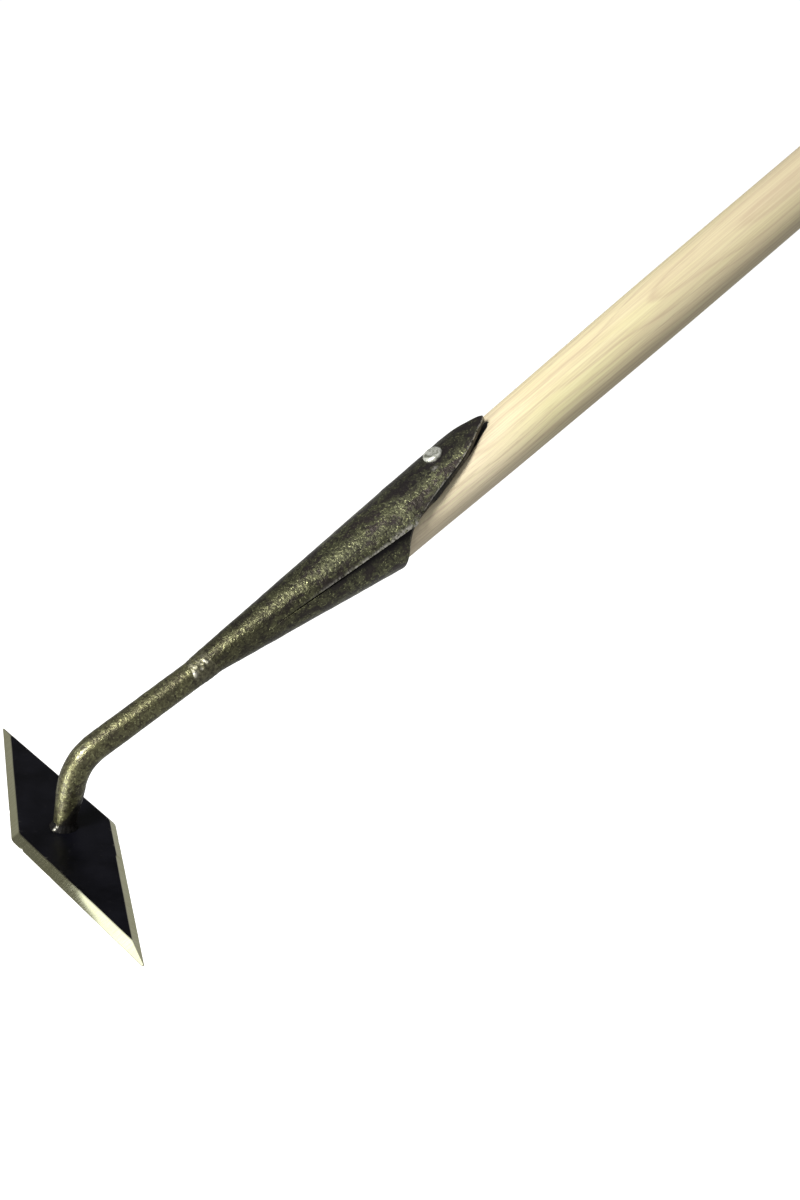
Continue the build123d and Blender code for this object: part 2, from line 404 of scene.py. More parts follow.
def ash_wood():
    """Pale ash under a thin clear finish: growth rings, pores and end grain."""
    s = Shader("ash_wood", Coat_Weight=0.12, Coat_Roughness=0.32)
    at = s.coords()
    t, y, z = s.split(at)
    drift = s.noise_vector(s.coords((0.0075, 0.010, 0.010)), 1.0, 2)
    dx, dy, _ = s.split(drift)
    yy = s.math("ADD", s.math("ADD", y, -26.0), s.math("MULTIPLY", dx, 7.0))
    zz = s.math("ADD", s.math("ADD", z, 26.0), s.math("MULTIPLY", dy, 7.0))
    far = s.math("SQRT", s.math("ADD", s.math("MULTIPLY", yy, yy), s.math("MULTIPLY", zz, zz)))
    far = s.math("ADD", far, s.math("MULTIPLY", t, 0.009))
    ring = s.math("FRACT", s.math("DIVIDE", far, 1.9))
    late = s.ramp(ring, (0.0, (0.0,) * 3), (0.10, (0.55,) * 3), (0.45, (1.0,) * 3),
                  (0.86, (0.92,) * 3), (0.96, (0.10,) * 3), (1.0, (0.0,) * 3))
    fibre = s.noise(s.coords((0.010, 1.0, 1.0)), 1.25, 4, 0.70)
    pores = s.noise(s.coords((0.030, 1.0, 1.0)), 2.8, 3, 0.6)
    hue = s.noise(s.coords((0.10, 1.0, 1.0)), 0.075, 3, 0.55)
    base = s.ramp(hue, (0.36, (0.725, 0.635, 0.400)), (0.50, (0.730, 0.640, 0.410)),
                  (0.62, (0.755, 0.695, 0.405)))
    # paler towards the socket, from 185 mm along the handle inwards
    base = s.mix(s.remap(t, 185.0, 145.0, 0.0, 0.75), base, (0.92, 0.80, 0.60))
    early = s.mix(s.remap(t, 130.0, 220.0, 0.38, 0.70), base, (0.54, 0.42, 0.28))
    base = s.mix(late, early, base)
    base = s.mix(s.remap(fibre, 0.50, 0.58, 0.0, 0.40), base, (0.56, 0.445, 0.30))
    base = s.mix(s.remap(fibre, 0.47, 0.40, 0.0, 0.50), base, (0.82, 0.77, 0.49))
    dashes = s.math("MULTIPLY", s.remap(pores, 0.60, 0.70), s.remap(ring, 0.45, 0.0, 0.25, 1.0))
    base = s.mix(s.math("MULTIPLY", dashes, 0.45), base, (0.36, 0.27, 0.16))
    # painted shade: greyer towards the grip, standing in for the lamp's light falling off along
    # the handle
    base = s.mix(s.remap(t, 175.0, 340.0, 0.0, 0.50), base, (0.46, 0.38, 0.27))
    # painted shadow: the wood is darkened to near black under the sheet and just past its edge,
    # more towards the mouth, where the gap's shadow falls
    ragged = s.remap(s.noise(at, 0.4), 0.3, 0.7, -0.15, 0.15)
    painted_gap_shadow = s.math("ADD", s.attribute("covered"), ragged)
    painted_gap_shadow = s.math("ADD", painted_gap_shadow, s.remap(t, 130.0, 116.0, 0.0, 0.55))
    base = s.mix(s.remap(painted_gap_shadow, -0.95, -0.55), base, (0.012, 0.010, 0.012))
    s.set("Base Color", base)
    s.set("Roughness", s.remap(fibre, 0.3, 0.7, 0.42, 0.56))
    first = s.bump(fibre, 0.25, 0.00012)
    s.set("Normal", s.bump(dashes, 0.35, -0.00010, first))
    return s.material


def rivet_steel():
    """Bright plated rivet, battered by the hammer."""
    s = Shader("rivet_steel", Metallic=0.55)
    at = s.coords()
    lumps = s.noise(at, 0.75, 4, 0.6)
    grime_and_painted_shade = s.noise(at, 0.45, 4, 0.6)
    base = s.ramp(lumps, (0.34, (0.30, 0.31, 0.26)), (0.60, (0.74, 0.75, 0.70)))
    base = s.mix(s.remap(grime_and_painted_shade, 0.50, 0.62, 0.0, 0.75), base, (0.12, 0.13, 0.09))
    rim = s.attribute("rim")
    worn = s.math("MULTIPLY", rim, s.remap(grime_and_painted_shade, 0.42, 0.60, 0.9, 0.3))
    base = s.mix(worn, base, (0.80, 0.81, 0.75))
    s.set("Base Color", base)
    s.set("Roughness", s.remap(lumps, 0.3, 0.7, 0.46, 0.24))
    s.set("Normal", s.bump(lumps, 0.6, 0.00035))
    return s.material


BRONZE = bronze_paint()
BLACK = blade_paint()
STEEL = ground_steel()
FOOT_WELD = weld_steel("foot_weld_paint", ((0.005, 0.005, 0.006), (0.014, 0.013, 0.012)),
                       0.0, 0.0, 0.04)
NECK_WELD = weld_steel("neck_weld_paint", ((0.040, 0.036, 0.024), (0.175, 0.168, 0.105)),
                       0.8, 0.2, 0.5)
ASH = ash_wood()
RIVET = rivet_steel()

# --- Blade -------------------------------------------------------------------
blade_low, blade_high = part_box("blade")
HALF_LONG = blade_high.y * 1000
HALF_SHORT = blade_high.x * 1000
THICK = blade_high.z * 1000
LONG_FULL = HALF_LONG + 1.8
SHORT_FULL = HALF_SHORT + 0.25
BEVEL = 3.0
LAND = 0.25
HOLLOW = 0.045
BEVEL_STEPS = [0.0, 0.12, 0.35, 0.6, 0.85, 0.97]
SHARP_EDGE = 18
# chips in each cutting edge: place along the blade, depth and width
NICKS = {
    -1: [(-7.7, 0.55, 0.8), (22.0, 0.18, 1.2), (-30.0, 0.12, 0.8)],
    1: [(-14.0, 0.15, 0.9), (38.0, 0.20, 1.0)],
}
TIP_RIDGE = HALF_LONG - 14.0 + 0.6


def make_blade():
    """A diamond plate as a grid of rows across the short way. Columns run
    from the front edge to the back edge, with a loop on each bevel line."""
    cos_side = LONG_FULL / math.hypot(LONG_FULL, SHORT_FULL)
    rows = np.concatenate([
        -np.linspace(0, 1, 150)[::-1] ** 0.97 * HALF_LONG,
        np.linspace(0, 1, 150)[1:] ** 0.97 * HALF_LONG,
    ])
    inner_steps = list(np.linspace(-1, 1, 25))
    edge_cols = len(BEVEL_STEPS)
    cols = edge_cols * 2 + len(inner_steps)
    top = np.zeros((len(rows), cols, 3))
    along = np.zeros((len(rows), cols))
    across = np.zeros((len(rows), cols))
    wear = np.zeros((len(rows), cols))
    for i, y in enumerate(rows):
        reach = min(SHORT_FULL * (1 - abs(y) / LONG_FULL), HALF_SHORT)
        limits = []
        for side in (-1, 1):
            wave = 0.12 * noise.noise(Vector((y * 0.05, side * 5.0, 1.0)))
            step = 0.0
            if side > 0:
                step = 0.42 * float(smooth(-y, 26.5, 28.0)) - 0.25
            run = (BEVEL + wave + step) / cos_side
            nick = 0.0
            for spot, deep, wide in NICKS[side]:
                nick += deep * math.exp(-(((y - spot) / wide) ** 2))
            limits.append((max(reach - nick, 0.05), max(reach - run, 0.0)))
        front, back = limits
        full = min(reach * cos_side / BEVEL, 1.0)
        xs = []
        for side, (edge, inner) in ((-1, front), (1, back)):
            line = []
            for u in BEVEL_STEPS:
                x = edge + (inner - edge) * u
                rise = (reach - x) / max(reach - inner, 1e-6)
                drop = HOLLOW * math.sin(math.pi * rise)
                line.append((side * x, LAND + full * ((THICK - LAND) * rise - drop), u))
            xs.append(line)
        ridge = LAND + (THICK - LAND) * full
        row = xs[0] + [
            (np.interp(u, [-1, 1], [-front[1], back[1]]), min(ridge, THICK), 1.0)
            for u in inner_steps
        ] + xs[1][::-1]
        for j, (x, z, u) in enumerate(row):
            top[i, j] = (x, y, z)
            along[i, j] = y / cos_side
            across[i, j] = u * BEVEL
        for j in (edge_cols, cols - edge_cols - 1):
            wear[i, j] = 0.5
    n = len(rows)
    sole = top.copy()
    sole[..., 2] = 0.0
    verts = np.vstack([top.reshape(-1, 3), sole.reshape(-1, 3)])
    faces = []
    mats = []
    for i in range(n - 1):
        for j in range(cols - 1):
            a = i * cols + j
            faces.append((a, a + 1, a + 1 + cols, a + cols))
            tip = abs(rows[i] + rows[i + 1]) / 2 > TIP_RIDGE
            bevel = j < edge_cols or j >= cols - edge_cols - 1 or tip
            mats.append(1 if bevel else 0)
            b = a + n * cols
            faces.append((b, b + cols, b + 1 + cols, b + 1))
            mats.append(0)
        for j in (0, cols - 1):
            a = i * cols + j
            b = a + n * cols
            faces.append((a, b, b + cols, a + cols))
            mats.append(1)
    for i in (0, n - 1):
        for j in range(cols - 1):
            a = i * cols + j
            b = a + n * cols
            faces.append((a, b, b + 1, a + 1))
            mats.append(1)
    data = {"along": np.concatenate([along.ravel()] * 2),
            "across": np.concatenate([across.ravel(), across.ravel() * 0]),
            "wear": np.concatenate([wear.ravel(), wear.ravel() * 0])}
    piece("blade", verts, faces, [BLACK, STEEL], data, mats,
                 SHARP_EDGE)


make_blade()

# --- Neck rod ------------------------------------------------------------------
BAR_R = 5.8
FOOT_R = 4.55
FOOT_X = -0.4
FOOT_LEAN = math.radians(83.0)
NECK_RISE = math.radians(35.25)
FOOT_RUN = 30.2
NECK_RUN = 63.4
BEND_R = 23.5
SPIGOT_R = 3.3
CONE_LEN = 108.4
CONE_SMALL_Z = 11.6


def flat_dir(angle):
    return np.array([math.cos(angle), 0.0, math.sin(angle)])


FOOT = np.array([FOOT_X, 0.0, THICK])
CORNER = FOOT + flat_dir(FOOT_LEAN) * FOOT_RUN
NECK_END = CORNER + flat_dir(NECK_RISE) * NECK_RUN
BEND_RUN = BEND_R * math.tan((FOOT_LEAN - NECK_RISE) / 2)
SHANK = FOOT_RUN - BEND_RUN


def rod_line(step):
    """Points, directions and radii along the bar's centre line."""
    arc = BEND_R * (FOOT_LEAN - NECK_RISE)
    total = SHANK + arc + NECK_RUN - BEND_RUN
    runs = np.arange(-1.5, total, step)
    runs = np.append(runs[runs < total - 0.2], total)
    points, ways, radii = [], [], []
    start = FOOT + flat_dir(FOOT_LEAN) * SHANK
    centre = start + BEND_R * flat_dir(FOOT_LEAN - math.pi / 2)
    finish = centre - BEND_R * flat_dir(NECK_RISE - math.pi / 2)
    for s in runs:
        if s <= SHANK:
            points.append(FOOT + flat_dir(FOOT_LEAN) * s)
            ways.append(FOOT_LEAN)
            radii.append(FOOT_R + (BAR_R - FOOT_R) * float(smooth(s, -1.0, SHANK)))
        elif s <= SHANK + arc:
            way = FOOT_LEAN - (s - SHANK) / BEND_R
            points.append(centre - BEND_R * flat_dir(way - math.pi / 2))
            ways.append(way)
            radii.append(BAR_R)
        else:
            points.append(finish + flat_dir(NECK_RISE) * (s - SHANK - arc))
            ways.append(NECK_RISE)
            radii.append(BAR_R)
    return runs, np.array(points), np.array(ways), np.array(radii)


def make_rod():
    runs, points, ways, radii = rod_line(0.55)
    cols = 72
    turn = np.linspace(0, 2 * np.pi, cols, endpoint=False)
    up = np.stack([-np.sin(ways), ways * 0, np.cos(ways)], -1)
    side = np.array([0.0, -1.0, 0.0])
    ring = np.cos(turn)[None, :, None] * up[:, None, :]
    ring = ring + np.sin(turn)[None, :, None] * side
    skin = points[:, None, :] + ring * radii[:, None, None]
    lift = 0.10 * relief(skin, 7.0, 1.0) + 0.07 * relief(skin, 2.6, 2.0)
    lift *= smooth(runs, 1.0, 8.0)[:, None]
    skin = skin + ring * lift[..., None]
    skin[..., 2] = np.maximum(skin[..., 2], THICK)
    # the spigot, out of sight inside the cone and in line with it
    spigot = []
    lean = math.atan2(-CONE_SMALL_Z, CONE_LEN) + RISE
    for s, r in ((0.4, SPIGOT_R), (20.0, SPIGOT_R), (21.4, SPIGOT_R - 1.2)):
        middle = NECK_END + flat_dir(lean) * s
        round_ = np.cos(turn)[:, None] * up[-1] + np.sin(turn)[:, None] * side
        spigot.append(middle + r * round_)
    skin = np.concatenate([skin, np.array(spigot)])
    # black lacquer from the blade runs up the bar, higher on one side; the same near-black mark
    # is also painted shade on the bar's side away from the key lamp
    high = skin[..., 2] - THICK
    off_axis = skin[..., 0] - FOOT_X - high * math.cos(FOOT_LEAN)
    sideways = 0.87 * off_axis - 0.49 * skin[..., 1]
    ragged = 1.2 * relief(skin, 3.0, 31.0)
    grime_and_painted_shade = smooth(sideways * 1.9 - high + 5.6 + ragged, -1.0, 1.6) * smooth(-high, -24, -16)
    faces = ring_faces(len(skin), cols)
    piece("neck_rod", skin, faces, [BRONZE], {"grime_and_painted_shade": grime_and_painted_shade})


make_rod()

# --- Socket ----------------------------------------------------------------------
SHEET = 2.2
CONE_SMALL_R = 5.8
CONE_LARGE_R = 17.35
TONGUE_R = 18.1
TONGUE_TIP = 160.2
SEAM_START = 30.0
SEAM_OPENING = 22.0
SEAM_GAP = 0.5
SEAM_BREAK = 0.375
LEAF_ANGLE = math.radians(61.5)
RIM_ROUND = 0.55
UPPER_LIFT = 0.95
FLAP_SINK = 2.45
BEHIND_CORNER = 0.12
# a small bright chip beside the rivet: place along, angle, size
SPECK_T, SPECK_A, SPECK_SIZE = 128.3, 0.385, 0.9
MOUTH = [(90.2, -17.0), (93.2, -10.4), (97.4, -3.4), (101.6, 2.6), (106.4, 6.4), (111.0, 9.0)]
NEAR_LEAF = [(108.0, 15.6), (120.0, 13.9), (130.0, 12.55), (140.0, 10.9), (148.0, 8.5),
             (154.0, 5.8), (158.6, 3.6), (160.2, 1.6)]
FAR_LEAF = [(160.2, 1.6), (158.6, -0.2), (154.0, -2.9), (148.0, -6.7), (140.0, -10.3),
            (130.0, -12.55), (120.0, -13.9), (108.0, -15.6)]


def cone_z(t):
    """Height of the cone's centre line over the handle's axis."""
    u = 1 - np.asarray(t, float) / CONE_LEN
    return CONE_SMALL_Z * (u + np.sqrt(u * u + 0.0004)) / 2


def cone_r(t):
    """Outer radius of the cone and, past its large end, of the tongue."""
    t = np.asarray(t, float)
    low = CONE_SMALL_R + (CONE_LARGE_R - CONE_SMALL_R) * t / CONE_LEN
    high = CONE_LARGE_R + (TONGUE_R - CONE_LARGE_R) * (t - CONE_LEN) / (TONGUE_TIP - CONE_LEN)
    blend = smooth(t, CONE_LEN - 4, CONE_LEN + 4)
    return low * (1 - blend) + high * blend


def leaf_edge(points):
    """One edge of the tongue, with its angle round the section."""
    line = through(points, 200)
    return line, np.arcsin(line[:, 1] / cone_r(line[:, 0]))


def rim_table():
    """Where the sheet ends (t) for each angle round the section."""
    mouth = through(MOUTH, 80)
    t, z = mouth.T
    share = (z - cone_z(t)) / cone_r(t)
    bottom = np.interp(-1.0, share, t)
    keep = share > -1.0
    mouth_a = np.arccos(share[keep])
    mouth_t = t[keep]
    near, near_a = leaf_edge(NEAR_LEAF)
    far, far_a = leaf_edge(FAR_LEAF)
    meet = near_a < LEAF_ANGLE
    a = [[-np.pi], -mouth_a, far_a[::-1][far_a[::-1] > -LEAF_ANGLE],
         near_a[::-1][meet[::-1]][1:], mouth_a[::-1], [np.pi]]
    tt = [[bottom], mouth_t, far[::-1, 0][far_a[::-1] > -LEAF_ANGLE],
          near[::-1, 0][meet[::-1]][1:], mouth_t[::-1], [bottom]]
    a = np.concatenate(a)
    tt = np.concatenate(tt)
    order = np.argsort(a, kind="stable")
    return a[order], tt[order]


RIM_A, RIM_T = rim_table()


def seam_angles(t):
    """Angles of the upper sheet's edge and of the flap's edge."""
    height = 6.2 + 0.05 * (100 - t)
    gap = SEAM_GAP * smooth(t, SEAM_START, SEAM_START + SEAM_OPENING)
    top = np.arccos(np.clip((height + gap / 2 - cone_z(t)) / cone_r(t), -1, 1))
    low = np.arccos(np.clip((height - gap / 2 - cone_z(t)) / cone_r(t), -1, 1))
    return top, low


def sheet_angle(v, t):
    """Angle of a point a share v of the way round the sheet from its upper edge."""
    top, low = seam_angles(t)
    return top - v * (2 * np.pi - (low - top))


def wrap(a):
    return (a + np.pi) % (2 * np.pi) - np.pi


def sheet_end(v):
    """Where the sheet's rim lies (t) for each share v, by halving."""
    low = np.full_like(v, 60.0)
    high = np.full_like(v, 166.0)
    for _ in range(46):
        middle = (low + high) / 2
        inside = np.interp(wrap(sheet_angle(v, middle)), RIM_A, RIM_T) > middle
        low = np.where(inside, middle, low)
        high = np.where(inside, high, middle)
    return (low + high) / 2


def inner_rim(t, a):
    """The rim of the sheet's inside, from the rim of its outside. The mouth
    is cut straight across, the tongue part way between radial and upright."""
    turn = wrap(a)
    side = np.sign(turn)
    size = np.abs(turn)
    radius = cone_r(t)
    leaf_limit = np.arccos(6.5 / (radius - SHEET))
    sine = np.clip(radius * np.sin(size) / (radius - SHEET), -1, 1)
    leaf = np.minimum(np.arcsin(sine), leaf_limit)
    lead = leaf_limit - LEAF_ANGLE
    mouth = size + lead * (1 - smooth(size, LEAF_ANGLE, LEAF_ANGLE + 0.30))
    line = through(MOUTH, 80)
    level = cone_z(t) + (radius - SHEET) * np.cos(mouth)
    mouth_t = np.interp(level, line[:, 1], line[:, 0])
    on_leaf = size < LEAF_ANGLE
    change = np.where(on_leaf, leaf, mouth) - size
    share = 0.5 + 0.25 * smooth(t, 112, 132) - 0.35 * smooth(t, 140, 158)
    return np.where(on_leaf, t, mouth_t), a + side * change * share


def make_socket():
    dense = np.linspace(0, 1, 4001)
    t = sheet_end(dense)
    a = sheet_angle(dense, t)
    step = np.hypot(np.diff(t), np.diff(a) * cone_r(t[:-1]))
    run = np.concatenate([[0], np.cumsum(step)])
    cols = 250
    v = np.interp(np.linspace(0, run[-1], cols), run, dense)
    t = sheet_end(v)
    a = sheet_angle(v, t)
    r = cone_r(t)
    # outward direction of the rim in the unrolled sheet
    dt = np.gradient(t)
    ds = np.gradient(a) * r
    size = np.hypot(dt, ds)
    n_t, n_s = -ds / size, dt / size

    def rim(inward):
        return t - n_t * inward, a - n_s * inward / r

    rows = []
    early = np.linspace(-2.0, SEAM_START, 26)
    for s in early:
        rows.append((np.full(cols, s), sheet_angle(v, s), 0.0))
    end_t, end_a = rim(RIM_ROUND)
    drift = end_a - sheet_angle(v, end_t)
    steps = 150
    for k in range(1, steps + 1):
        u = k / steps
        at = SEAM_START + (end_t - SEAM_START) * u
        rows.append((at, sheet_angle(v, at) + drift * u ** 3, 0.0))
    rounding = (0.35, 0.65, 0.88, 1.0)
    for share in rounding:
        angle = share * math.pi / 2
        at, aa = rim(RIM_ROUND * (1 - math.sin(angle)))
        rows.append((at, aa, RIM_ROUND * (1 - math.cos(angle))))
    last_t, last_a = inner_rim(t, a)
    inner_drift = last_a - sheet_angle(v, last_t)
    early_rows = len(early) - 1
    # the ring of one row: outer skin, flap edge, inner skin, upper edge
    verts = []
    wear_and_sheen = []
    painted_shades = []
    for i, (at, aa, sunk) in enumerate(rows):
        u = max(i - len(early) + 1, 0) / (steps + len(rounding))
        in_t = at if i < len(early) else SEAM_START + (last_t - SEAM_START) * u
        in_a = aa if i < len(early) else sheet_angle(v, in_t) + inner_drift * u ** 3
        ramp = smooth(at, SEAM_START + 4, 108.0) ** 1.25
        start = smooth(at, SEAM_START, SEAM_START + SEAM_OPENING)
        length = cone_r(at) * 2 * np.pi
        from_top = v * length
        from_flap = (1 - v) * length
        shift = UPPER_LIFT * ramp * np.exp(-((from_top / 7.0) ** 2))
        shift = shift - FLAP_SINK * ramp ** 0.8 * np.exp(-((from_flap / 8.5) ** 2))
        ring_a = np.concatenate([aa, in_a[::-1]])
        ring_t = np.concatenate([at, in_t[::-1]])
        outer_r = cone_r(at) + shift - sunk
        inner_r = cone_r(in_t) + shift - SHEET
        ring_r = np.concatenate([outer_r, inner_r[::-1]])
        ring_r = np.maximum(ring_r, 1.0)
        # break the long edges of the open seam
        ring_r[0] -= SEAM_BREAK * start[0]
        ring_r[cols - 1] -= SEAM_BREAK * start[-1]
        y = -ring_r * np.sin(ring_a)
        z = cone_z(ring_t) + ring_r * np.cos(ring_a)
        verts.append(np.stack([ring_t, y, z], -1))
        w = np.zeros(2 * cols)
        # the seam's upper edge: rubbed paint that is also a painted highlight along the edge
        w[:cols] = 1.7 * start * np.exp(-((from_top / 0.9) ** 2)) * smooth(at, 40, 90)
        w[:cols] += 1.3 * np.exp(-((from_top / 1.7) ** 2)) * smooth(at, 91, 98)
        # the rim: rubbed paint, brightened further as a painted highlight along its edge
        if sunk > 0:
            w[:cols] = np.maximum(w[:cols], 0.9 + 0.6 * smooth(at, 118, 130))
        off_a = (wrap(aa) - SPECK_A) * TONGUE_R
        speck = ((at - SPECK_T) / SPECK_SIZE) ** 2 + (off_a / SPECK_SIZE) ** 2
        w[:cols] += 2.6 * np.exp(-speck)
        wear_and_sheen.append(w)
        g = np.zeros(2 * cols)
        # painted shadow: a dark band on the flap just under the seam, wider towards the mouth,
        # where the upper sheet's edge casts its shadow
        g[:cols] = 1.2 * smooth(at, 36, 80) * np.exp(-((from_flap / (0.9 + 4.6 * ramp)) ** 2))
        # painted shade: the top of the tongue darkened, on the side turned from the lamp
        g[:cols] += 0.80 * smooth(at, 92, 116) * (1 - smooth(wrap(aa), 0.34, 0.66))
        # painted shade: a dark band between the lamp's highlight and the seam's lip
        g[:cols] += 0.45 * smooth(at, 55, 80) * np.exp(-(((from_top - 6.0) / 3.0) ** 2))
        # painted shade: the whole inside of the sheet near black
        g[cols:] = 1.0
        if sunk > 0:
            g[:cols] *= 0.4
        painted_shades.append(g)
    verts = np.array(verts)
    count, ring = verts.shape[:2]
    skin = verts[:, :cols]
    flat = row_from_tool(skin)
    lift = 0.09 * relief(flat, 6.0, 5.0) + 0.06 * relief(flat, 2.4, 6.0)
    lift *= np.clip((np.arange(count) - 3) / 6.0, 0, 1)[:, None]
    same = np.array([lift[:early_rows + 1, 0], lift[:early_rows + 1, -1]]).mean(0)
    lift[:early_rows + 1, 0] = same
    lift[:early_rows + 1, -1] = same
    ring_a = np.arctan2(-skin[..., 1], skin[..., 2] - cone_z(skin[..., 0]))
    skin[..., 1] += -np.sin(ring_a) * lift
    skin[..., 2] += np.cos(ring_a) * lift
    verts[:, :cols] = skin
    faces = []
    for i in range(count - 1):
        for j in range(ring):
            k = (j + 1) % ring
            wall = j == cols - 1 or j == ring - 1
            if wall and i < early_rows:
                continue
            faces.append((i * ring + j, i * ring + k, (i + 1) * ring + k, (i + 1) * ring + j))
    for j in range(cols - 1):
        faces.append((j, j + 1, ring - 2 - j, ring - 1 - j))
    # the cut face of the rim, black just behind its rubbed corner, as painted shade in the gap
    # under the sheet
    last = (count - 1) * ring
    outer = verts[-1, :cols]
    inner = verts[-1, cols:][::-1]
    behind = outer + (inner - outer) * BEHIND_CORNER
    first = count * ring
    for j in range(cols - 1):
        faces.append((last + j, last + j + 1, first + j + 1, first + j))
        faces.append((first + j, first + j + 1, last + ring - 2 - j, last + ring - 1 - j))
    faces.append((last, first, last + ring - 1))
    faces.append((last + cols - 1, last + cols, first + cols - 1))
    verts = np.concatenate([verts.reshape(-1, 3), behind])
    wear_and_sheen = np.concatenate([np.ravel(wear_and_sheen), np.zeros(cols)])
    painted_shades = np.concatenate([np.ravel(painted_shades), np.ones(cols)])
    piece("socket", row_from_tool(verts), faces, [BRONZE],
                 {"wear": wear_and_sheen, "grime_and_painted_shade": painted_shades})


make_socket()

# --- Handle -------------------------------------------------------------------------
SWELL = [(46, 11.2), (92, 12.2), (112, 12.5), (136, 13.0), (165, 13.5), (190, 13.8),
         (220, 14.15), (250, 14.4), (280, 14.5)]
GRIP_R = 14.5
HANDLE_END = 1500.0
BUTT = 7.0
SHAVED_TO = 103.0
RIVET_T = 132.4
WASHER_SEAT = -10.6
WASHER_R = 5.2


def under_sheet(t, a, r):
    """How far in mm a point of the wood lies inside the edge of the sheet."""
    near_line, near_a = leaf_edge(NEAR_LEAF)
    far_line, far_a = leaf_edge(FAR_LEAF)
    near = np.interp(t, near_line[:, 0], near_a)
    far = np.interp(t, far_line[::-1, 0], far_a[::-1])
    leaf = np.minimum(np.minimum(near - a, a - far) * r, TONGUE_TIP - t)
    leaf = np.where(t > 106.0, leaf, -9.0)
    mouth = np.where(np.abs(a) > 1.07, np.interp(a, RIM_A, RIM_T), 108.0) - t
    return np.maximum(leaf, mouth)


def make_handle():
    marks = through(SWELL, 120)
    ts = np.concatenate([
        np.linspace(46, 84, 20), np.linspace(85, 165, 190), np.linspace(167, 280, 60),
        np.linspace(284, HANDLE_END - BUTT, 300),
    ])
    rs = np.interp(ts, marks[:, 0], marks[:, 1])
    rounds = np.linspace(0, math.pi / 2, 12)[1:]
    ts = np.concatenate([ts, HANDLE_END - BUTT + BUTT * np.sin(rounds),
                         [HANDLE_END] * 4])
    rs = np.concatenate([rs, GRIP_R - BUTT + BUTT * np.cos(rounds),
                         [6.0, 4.0, 2.0, 0.6]])
    cols = 160
    turn = np.linspace(0, 2 * np.pi, cols, endpoint=False)
    t = np.repeat(ts[:, None], cols, 1)
    y = -np.sin(turn)[None, :] * rs[:, None]
    z = np.cos(turn)[None, :] * rs[:, None]
    skin = np.stack([t, y, z], -1)
    ease = smooth(ts, 108, 125)[:, None] * smooth(-ts, -HANDLE_END + 4, -HANDLE_END + 20)[:, None]
    lift = 0.10 * relief(skin * (0.12, 1, 1), 14.0, 9.0) * ease
    lift = lift - np.abs(lift).max() * ease
    y = y - np.sin(turn)[None, :] * lift
    z = z + np.cos(turn)[None, :] * lift
    # shaved to the inside of the rolled cone
    inner = cone_r(t) - SHEET - 0.03
    above = z - cone_z(t)
    reach = np.hypot(y, above)
    shaved = t < SHAVED_TO
    squeeze = np.where(shaved, np.minimum(1.0, inner / np.maximum(reach, 1e-6)), 1.0)
    y = y * squeeze
    z = cone_z(t) * shaved + np.where(shaved, above * squeeze, z)
    a = wrap(np.repeat(turn[None, :], len(ts), 0))
    covered = np.clip(under_sheet(t, a, rs[:, None]), -5.0, 5.0)
    # seat for the washer, let into the underside
    near = np.hypot(t - RIVET_T, y) < WASHER_R + 0.3
    z = np.where(near & (z < 0), np.maximum(z, WASHER_SEAT), z)
    skin = np.stack([t, y, z], -1)
    faces = ring_faces(len(ts), cols)
    piece("handle", row_from_tool(skin), faces, [ASH], {"covered": covered})


make_handle()

# --- Rivet and washer ------------------------------------------------------------------
HEAD_TOP = 19.35
WASHER_T = 1.2
TAIL_H = 0.9
LATHE_COLS = 72
TONGUE_AT_RIVET_R = 17.72


def about_rivet(profile):
    return lathe(profile, LATHE_COLS, (RIVET_T, 0, 0), (0, 0, 1), (1, 0, 0))


def make_rivet():
    low = WASHER_SEAT - WASHER_T
    profile = [(low - TAIL_H, 0.25), (low - TAIL_H * 0.98, 0.9), (low - TAIL_H * 0.9, 1.7),
               (low - TAIL_H * 0.72, 2.5), (low - TAIL_H * 0.45, 3.3), (low - TAIL_H * 0.2, 3.75),
               (low - 0.05, 3.9), (low, 3.7), (low, 2.5), (0.0, 2.5), (15.7, 2.5),
               (17.2, 4.42), (HEAD_TOP - 1.7, 4.5), (HEAD_TOP - 1.25, 4.48),
               (HEAD_TOP - 0.85, 4.32), (HEAD_TOP - 0.50, 4.0), (HEAD_TOP - 0.26, 3.6),
               (HEAD_TOP - 0.10, 3.1), (HEAD_TOP - 0.03, 2.7), (HEAD_TOP - 0.12, 2.2),
               (HEAD_TOP - 0.20, 1.5), (HEAD_TOP - 0.22, 0.8), (HEAD_TOP - 0.22, 0.2)]
    rings = about_rivet(profile)
    dents = 0.16 * relief(rings, 1.9, 3.0, 2)
    battered = np.array([1.0 if h > HEAD_TOP - 1.3 or h < low - 0.3 else 0.0
                         for h, r in profile])[:, None]
    rings[..., 2] += np.minimum(dents, 0.02) * battered
    # the head's underside follows the round of the tongue
    under = profile.index((17.2, 4.42))
    round_z = np.sqrt(TONGUE_AT_RIVET_R ** 2 - rings[under, :, 1] ** 2)
    rings[under, :, 2] = round_z - 0.05
    rim = np.array([math.exp(-((r - 3.9) / 0.5) ** 2) if h > 17.0 else 0.0 for h, r in profile])
    faces = ring_faces(len(profile), LATHE_COLS)
    piece("rivet", row_from_tool(rings), faces, [RIVET],
                 {"rim": np.repeat(rim, LATHE_COLS)})


